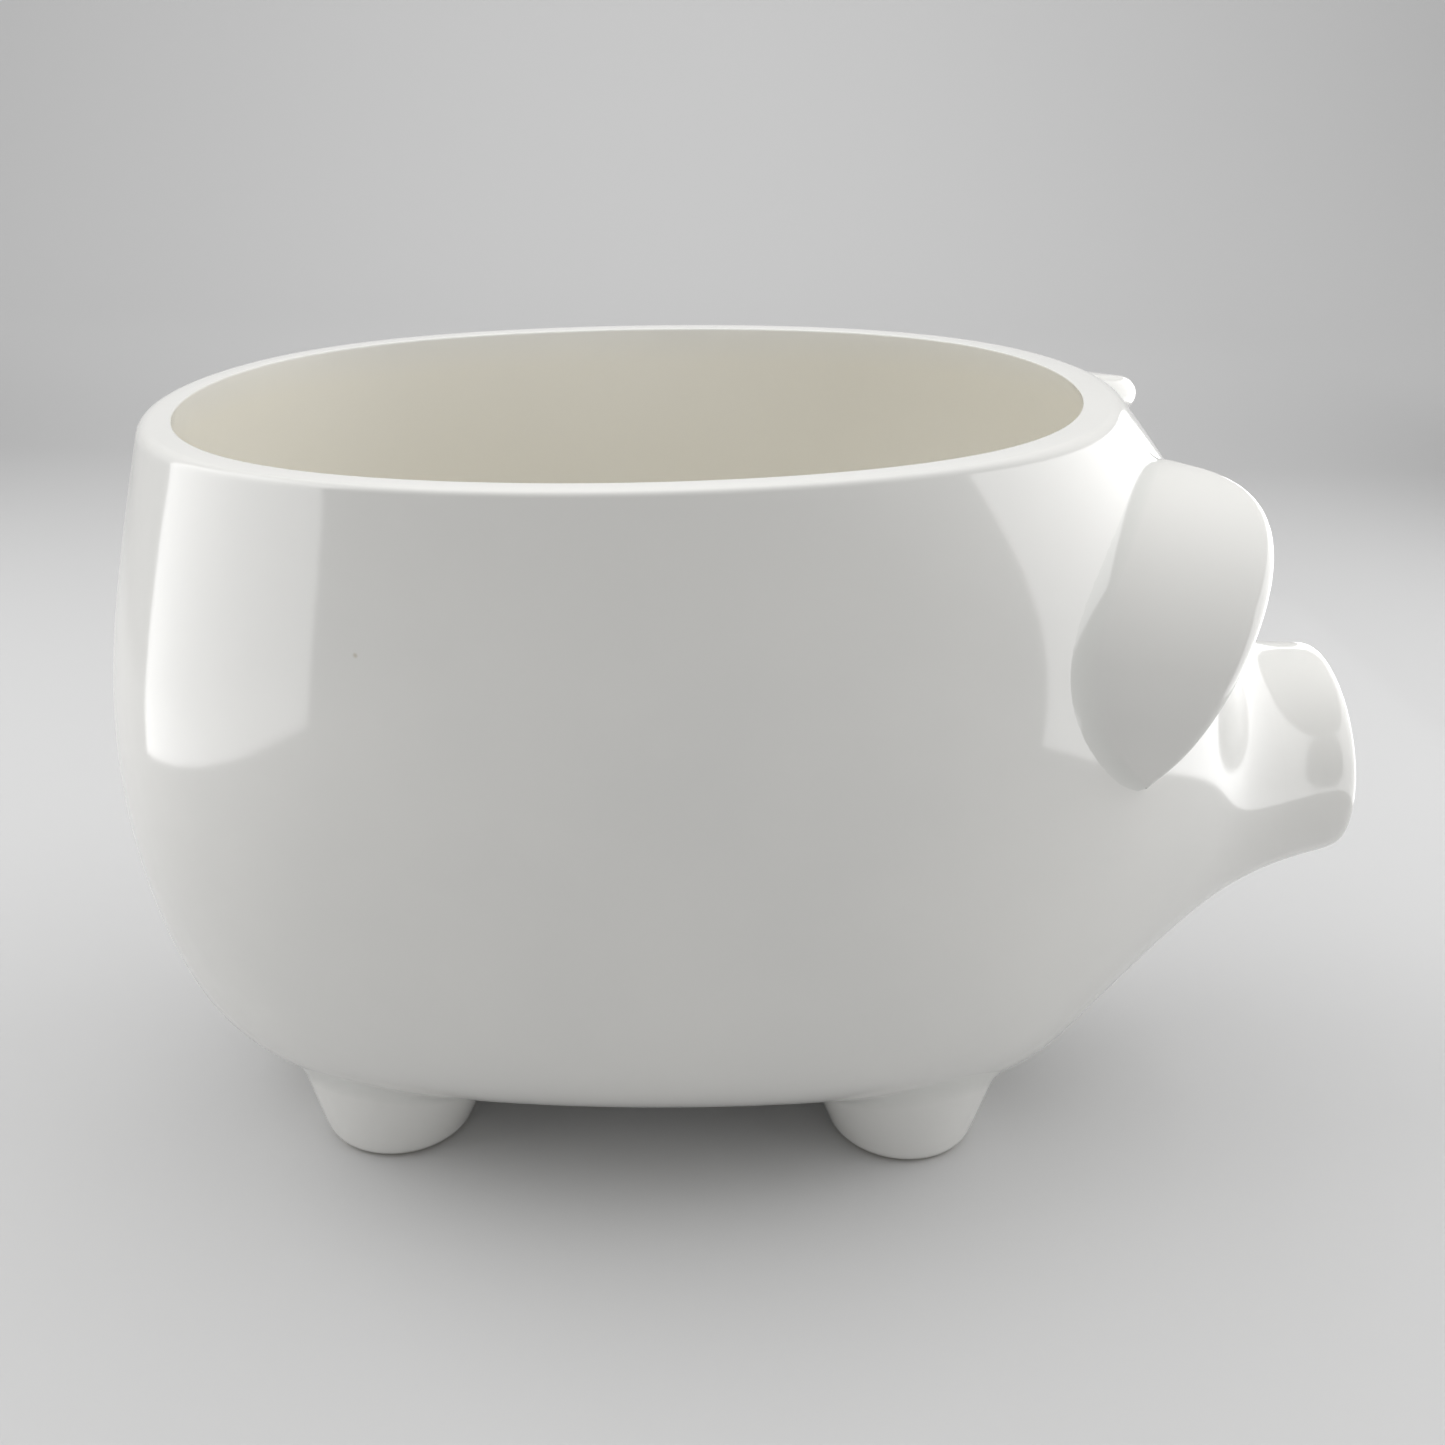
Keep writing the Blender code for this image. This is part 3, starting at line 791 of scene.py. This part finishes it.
class PLANTER_OT_ears(bpy.types.Operator):
    """Models the two cupped ears with soft roots; the left one is a shifted mirror image"""
    bl_idname = "planter.ears"
    bl_label = "Model the ears"

    def execute(self, context):
        planter = context.scene.planter
        tree = head_tree(planter)
        for name, side, shift in (("ear_right", 1.0, Vector()), ("ear_left", -1.0, planter.ear.left_shift)):
            bm = self.flap(planter, tree, shift)
            bmesh.ops.scale(bm, vec=(1.0, side, 1.0), verts=bm.verts)
            finish_piece(bm, name, "ear_glaze", LUTED_CREASE)
        return {"FINISHED"}

    @staticmethod
    def section(ear):
        """Stations around the flap's section: turn around the cup's axis and direction off its middle."""
        def radial(turn):
            return Vector((0.0, math.cos(turn), math.sin(turn)))

        def around(turn, bend):
            tangent = Vector((0.0, -math.sin(turn), math.cos(turn)))
            return radial(turn) * math.cos(bend) + tangent * math.sin(bend)

        span = ear.tip_turn - ear.top_turn
        turns = [ear.top_turn + span * step / ear.face_steps for step in range(ear.face_steps + 1)]
        bends = [math.pi * step / ear.end_steps for step in range(1, ear.end_steps)]
        low, high = ear.tip_turn, ear.top_turn
        stations = [(turn, radial(turn)) for turn in turns]
        stations += [(low, around(low, bend)) for bend in bends]
        stations += [(turn, -radial(turn)) for turn in reversed(turns)]
        stations += [(high, -around(high, bend)) for bend in bends]
        return stations

    def flap(self, planter, tree, shift):
        """An ear on the right side as one closed piece, from its free edge to the root inside the wall."""
        ear, pot = planter.ear, planter.pot
        stations = self.section(ear)
        rise, half_width = pot.shoulder[0], pot.shoulder[3]
        middle = Vector((0.0, ear.inset - half_width, CLEARANCE + rise - ear.drop)) + shift
        paths = [self.path(planter, tree, middle, turn, aside) for turn, aside in stations]
        rows = pooled_and_shaded(list(zip(*paths)), ear.edge_steps + ear.length_steps, ear.fillet_steps)
        return piece_of_rows(rows, capped=False)

    @staticmethod
    def path(planter, tree, middle, turn, aside):
        """Places from the free edge over one station of the section down to the root."""
        ear, pot = planter.ear, planter.pot
        forward = Vector((math.cos(ear.fall), 0.0, -math.sin(ear.fall)))
        spoke = Vector((0.0, math.cos(turn), math.sin(turn)))
        share = (turn - ear.top_turn) / (ear.tip_turn - ear.top_turn)
        half = ear.thickness / 2 * (1 - (1 - ear.tip_share) * share ** ear.thinning)
        core = middle + spoke * (ear.cup_radius * (1 - ear.curl * share ** 2) - half)

        def head(place):
            hit = tree.ray_cast(place + forward * FAR, -forward)[0]
            if hit is None:
                raise RuntimeError("An ear misses the head")
            return hit

        def along(place):
            return (place.x - middle.x) / forward.x

        crown = (ear.crown + ear.dip) * math.sin(math.pi * share ** ear.crown_shift)
        crown -= ear.dip * (1 - share)
        edge = (pot.middle + pot.shoulder[2] - ear.set_back + crown) / forward.x
        edge = max(edge, along(head(core + spoke * half)) - pot.wall * ear.lip_share)
        foot = head(core + aside * half)
        free = edge - along(foot)
        outward = aside.dot(spoke)
        back = ear.back_fillet + (ear.tip_fillet - ear.back_fillet) * share
        reach = ear.cup_fillet + (back - ear.cup_fillet) * (outward + 1) / 2
        room = -rim_height(pot, foot) - pot.outer_edge - pot.end_edge
        reach = min(reach, room / max(aside.z, ear.least_lean))
        rise = max(min(reach, free * ear.fillet_share), ear.sunk)
        reach = rise + max(reach - rise, 0.0) * max(outward, 0.0)
        rounding = max(min(half, (edge - along(head(core))) * ear.edge_share), ear.sunk)
        skirt = head(foot + aside * reach)
        sink = forward * min(max(ear.short - free, 0.0), ear.deepest)
        foot, skirt = foot - sink, skirt - sink - forward * ear.sunk
        bends = [math.pi / 2 * step / ear.edge_steps for step in range(ear.edge_steps + 1)]
        lip = [core + aside * (half * math.sin(bend)) + forward * (edge - rounding * (1 - math.cos(bend)))
               for bend in bends]
        start = foot + forward * rise
        side = [lip[-1].lerp(start, step / ear.length_steps) for step in range(1, ear.length_steps)]
        buried = head(core) - forward * (pot.wall * ROOT_SHARE)
        return lip + side + soft_corner(start, foot, skirt, ear.fillet_steps) + [buried]


class PLANTER_OT_feet(bpy.types.Operator):
    """Models the four stub feet with flat soles and soft joints"""
    bl_idname = "planter.feet"
    bl_label = "Model the feet"

    def execute(self, context):
        planter = context.scene.planter
        tree = head_tree(planter)
        for name in ("foot_front_right", "foot_front_left", "foot_rear_right", "foot_rear_left"):
            finish_piece(self.stub(planter, tree, name), name, "foot_glaze", LUTED_CREASE)
        return {"FINISHED"}

    def stub(self, planter, tree, name):
        """One foot as a closed piece, from the middle of its sole up to the joint inside the wall."""
        foot = planter.foot
        low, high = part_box(name)
        centre = Vector(((low.x + high.x) / 2, (low.y + high.y) / 2, 0.0))
        turns = [math.tau * step / foot.turn_steps for step in range(foot.turn_steps)]
        paths = [self.path(foot, planter.pot, tree, centre, turn) for turn in turns]
        rows = pooled_and_shaded(list(zip(*paths)), foot.edge_steps + foot.side_steps, foot.fillet_steps)
        return piece_of_rows(rows, capped=True)

    @staticmethod
    def path(foot, pot, tree, centre, turn):
        """Places from the sole's edge up one side of the foot and over its joint."""
        out = Vector((math.cos(turn), math.sin(turn), 0.0))
        corner = centre + out * (foot.sole_radius + foot.sole_edge)

        def belly(place):
            hit = tree.ray_cast(place, Z_AXIS)[0]
            if hit is None:
                raise RuntimeError("A foot misses the pot")
            return hit

        joint = belly(centre + out * foot.top_radius)
        rise = (joint - corner).normalized()
        risen = min(max(joint.z / CLEARANCE - 1, 0.0), 1.0)
        softness = foot.fillet + (foot.side_fillet - foot.fillet) * risen
        sole = centre + out * foot.sole_radius
        edge = soft_corner(sole, corner, corner + rise * foot.sole_edge, foot.edge_steps)
        start = joint - rise * softness
        side = [edge[-1].lerp(start, step / foot.side_steps) for step in range(1, foot.side_steps)]
        aside = Vector((joint.x, joint.y, 0.0)) + out * softness
        skirt = belly(aside) + Z_AXIS * foot.sunk
        shares = [1 - step / (foot.buried_steps + 1) for step in range(1, foot.buried_steps + 1)]
        buried = [belly(centre.lerp(aside, share)) + Z_AXIS * (pot.wall * ROOT_SHARE) for share in shares]
        return edge + side + soft_corner(start, joint, skirt, foot.fillet_steps) + buried


class PLANTER_OT_tail(bpy.types.Operator):
    """Models the tail, a small curl on the rump"""
    bl_idname = "planter.tail"
    bl_label = "Model the tail"

    def execute(self, context):
        planter = context.scene.planter
        tail, pot = planter.tail, planter.pot
        tree = head_tree(planter)
        rows = [(0.0, self.row(tail, pot, tree, step / tail.steps)) for step in range(tail.steps + 1)]
        finish_piece(piece_of_rows(rows, capped=True), "tail", "body_glaze", LUTED_CREASE)
        return {"FINISHED"}

    @staticmethod
    def row(tail, pot, tree, share):
        """A closed section of the curl: a low arch on the rump and its buried base."""
        turn = -math.pi / 2 + math.tau * tail.turns * share
        radius = tail.curl_radius - tail.pitch * tail.turns * share
        out = Vector((0.0, math.cos(turn), math.sin(turn)))
        centre = Vector((0.0, 0.0, CLEARANCE + pot.belly[0] + tail.lift)) + out * radius
        grown = min(1.0, tail.tip_start + min(share, 1 - share) * tail.tip_rate)
        full = math.sin(math.pi * grown / 2)
        half = tail.half_width * (tail.tip_width + (1 - tail.tip_width) * full)
        arch, base = [], []
        for step in range(tail.width_steps + 1):
            side = 2 * step / tail.width_steps - 1
            place = centre + out * (side * half)
            hit, normal = tree.ray_cast(place - X_AXIS * FAR, X_AXIS)[:2]
            if hit is None:
                raise RuntimeError("The tail misses the rump")
            rise = tail.relief * full * math.sqrt(max(0.0, 1 - side * side)) - tail.sunk
            arch.append(hit + normal * rise)
            base.append(hit - normal * (pot.wall * tail.base_share))
        return arch + base[::-1]


class PLANTER_OT_studio(bpy.types.Operator):
    """Sets the pale floor with its sweep, the panels, the mirrored windows, the world and the camera"""
    bl_idname = "planter.studio"
    bl_label = "Set up the studio"

    def execute(self, context):
        scene = context.scene
        studio = scene.planter.studio
        self.sweep(scene, studio)
        self.panel(scene, "panel_left", studio.left, -X_AXIS)
        self.panel(scene, "panel_right", studio.right, X_AXIS)
        self.panel(scene, "panel_top", studio.top, Vector(studio.top[1:4]))
        self.panel(scene, "panel_back", studio.back, -Y_AXIS)
        self.window(scene, "window_left", studio.window_left, -X_AXIS)
        self.window(scene, "window_right", studio.window_right, X_AXIS)
        self.world(scene, studio)
        self.camera(scene, studio)
        scene.view_settings.view_transform = "Standard"
        return {"FINISHED"}

    @staticmethod
    def sweep(scene, studio):
        """A wide floor that turns up behind the object in one soft curve."""
        bm = bmesh.new()
        corners = bmesh.ops.create_grid(bm, x_segments=1, y_segments=1, size=1.0)["verts"]
        bmesh.ops.scale(bm, vec=(studio.floor_half, studio.floor_half, 1.0), verts=corners)
        back = [edge for edge in bm.edges if all(corner.co.y > 0 for corner in edge.verts)]
        wall = bmesh.ops.extrude_edge_only(bm, edges=back)["geom"]
        raised = [item for item in wall if isinstance(item, bmesh.types.BMVert)]
        bmesh.ops.translate(bm, vec=(0.0, 0.0, studio.floor_half), verts=raised)
        bmesh.ops.bevel(bm, geom=back, offset=studio.sweep, offset_type="OFFSET", affect="EDGES",
                        segments=studio.sweep_steps, profile=0.5, material=-1)
        bmesh.ops.recalc_face_normals(bm, faces=bm.faces)
        for face in bm.faces:
            face.smooth = True
        mesh = bpy.data.meshes.new("floor")
        bm.to_mesh(mesh)
        bm.free()
        floor = bpy.data.objects.new("floor", mesh)
        scene.collection.objects.link(floor)
        paper = bpy.data.materials.new("paper")
        paper.use_nodes = True
        shader = paper.node_tree.nodes["Principled BSDF"]
        shader.inputs["Base Color"].default_value = opaque(studio.paper)
        shader.inputs["Roughness"].default_value = studio.paper_roughness
        shader.inputs["Specular IOR Level"].default_value = studio.paper_gloss
        mesh.materials.append(paper)

    @staticmethod
    def panel(scene, name, values, away):
        """A soft panel with its back to a direction, which the camera and the glaze's mirror don't show."""
        power, *place, width, height = values
        light = bpy.data.lights.new(name, "AREA")
        light.shape = "RECTANGLE"
        light.size, light.size_y = width, height
        light.energy = power
        holder = bpy.data.objects.new(name, light)
        turn = away.to_track_quat("Z", "Y").to_matrix().to_4x4()
        holder.matrix_world = Matrix.Translation(place) @ turn
        holder.visible_camera = False
        holder.visible_glossy = False
        scene.collection.objects.link(holder)
        return holder

    def window(self, scene, name, values, away):
        """A bright pane that shows only where the glaze mirrors it."""
        pane = self.panel(scene, name, values, away)
        pane.data.energy = values[0] * math.pi * pane.data.size * pane.data.size_y
        pane.visible_diffuse = False
        pane.visible_glossy = True

    @staticmethod
    def world(scene, studio):
        """An even pale surround."""
        scene.world = bpy.data.worlds.new("studio")
        scene.world.use_nodes = True
        background = scene.world.node_tree.nodes["Background"]
        background.inputs["Color"].default_value = (1.0, 1.0, 1.0, 1.0)
        background.inputs["Strength"].default_value = studio.world

    @staticmethod
    def camera(scene, studio):
        """The camera at the photograph's angle."""
        data = bpy.data.cameras.new("camera")
        data.lens = studio.lens
        data.sensor_width = SENSOR
        data.clip_start = studio.near
        turn = Matrix.Rotation(-studio.turn, 4, "Z")
        tilt = Matrix.Rotation(math.pi / 2 - studio.tilt, 4, "X")
        roll = Matrix.Rotation(studio.roll, 4, "Z")
        view = turn @ tilt
        place = Vector(studio.target) + view.to_3x3() @ Z_AXIS * studio.distance
        camera = bpy.data.objects.new("camera", data)
        camera.matrix_world = Matrix.Translation(place) @ view @ roll
        scene.collection.objects.link(camera)
        scene.camera = camera


OPERATORS = (PLANTER_OT_pot, PLANTER_OT_snout, PLANTER_OT_ears, PLANTER_OT_feet, PLANTER_OT_tail,
             PLANTER_OT_studio)


class PLANTER_PT_sidebar(bpy.types.Panel):
    """Lists the steps that model the planter"""
    bl_idname = "PLANTER_PT_sidebar"
    bl_label = "Pig planter"
    bl_space_type = "VIEW_3D"
    bl_region_type = "UI"
    bl_category = "Planter"

    def draw(self, context):
        for operator in OPERATORS:
            self.layout.operator(operator.bl_idname)


GROUPS = (PotSizes, SnoutSizes, EarSizes, FootSizes, TailSizes, GlazeLook, StudioSetup, Planter)


def register():
    for item in (*GROUPS, *OPERATORS, PLANTER_PT_sidebar):
        bpy.utils.register_class(item)
    bpy.types.Scene.planter = PointerProperty(type=Planter)


def unregister():
    del bpy.types.Scene.planter
    for item in reversed((*GROUPS, *OPERATORS, PLANTER_PT_sidebar)):
        bpy.utils.unregister_class(item)


def main():
    register()
    bpy.ops.planter.pot()
    bpy.ops.planter.snout()
    bpy.ops.planter.ears()
    bpy.ops.planter.feet()
    bpy.ops.planter.tail()
    bpy.ops.planter.studio()


if __name__ == "__main__":
    main()
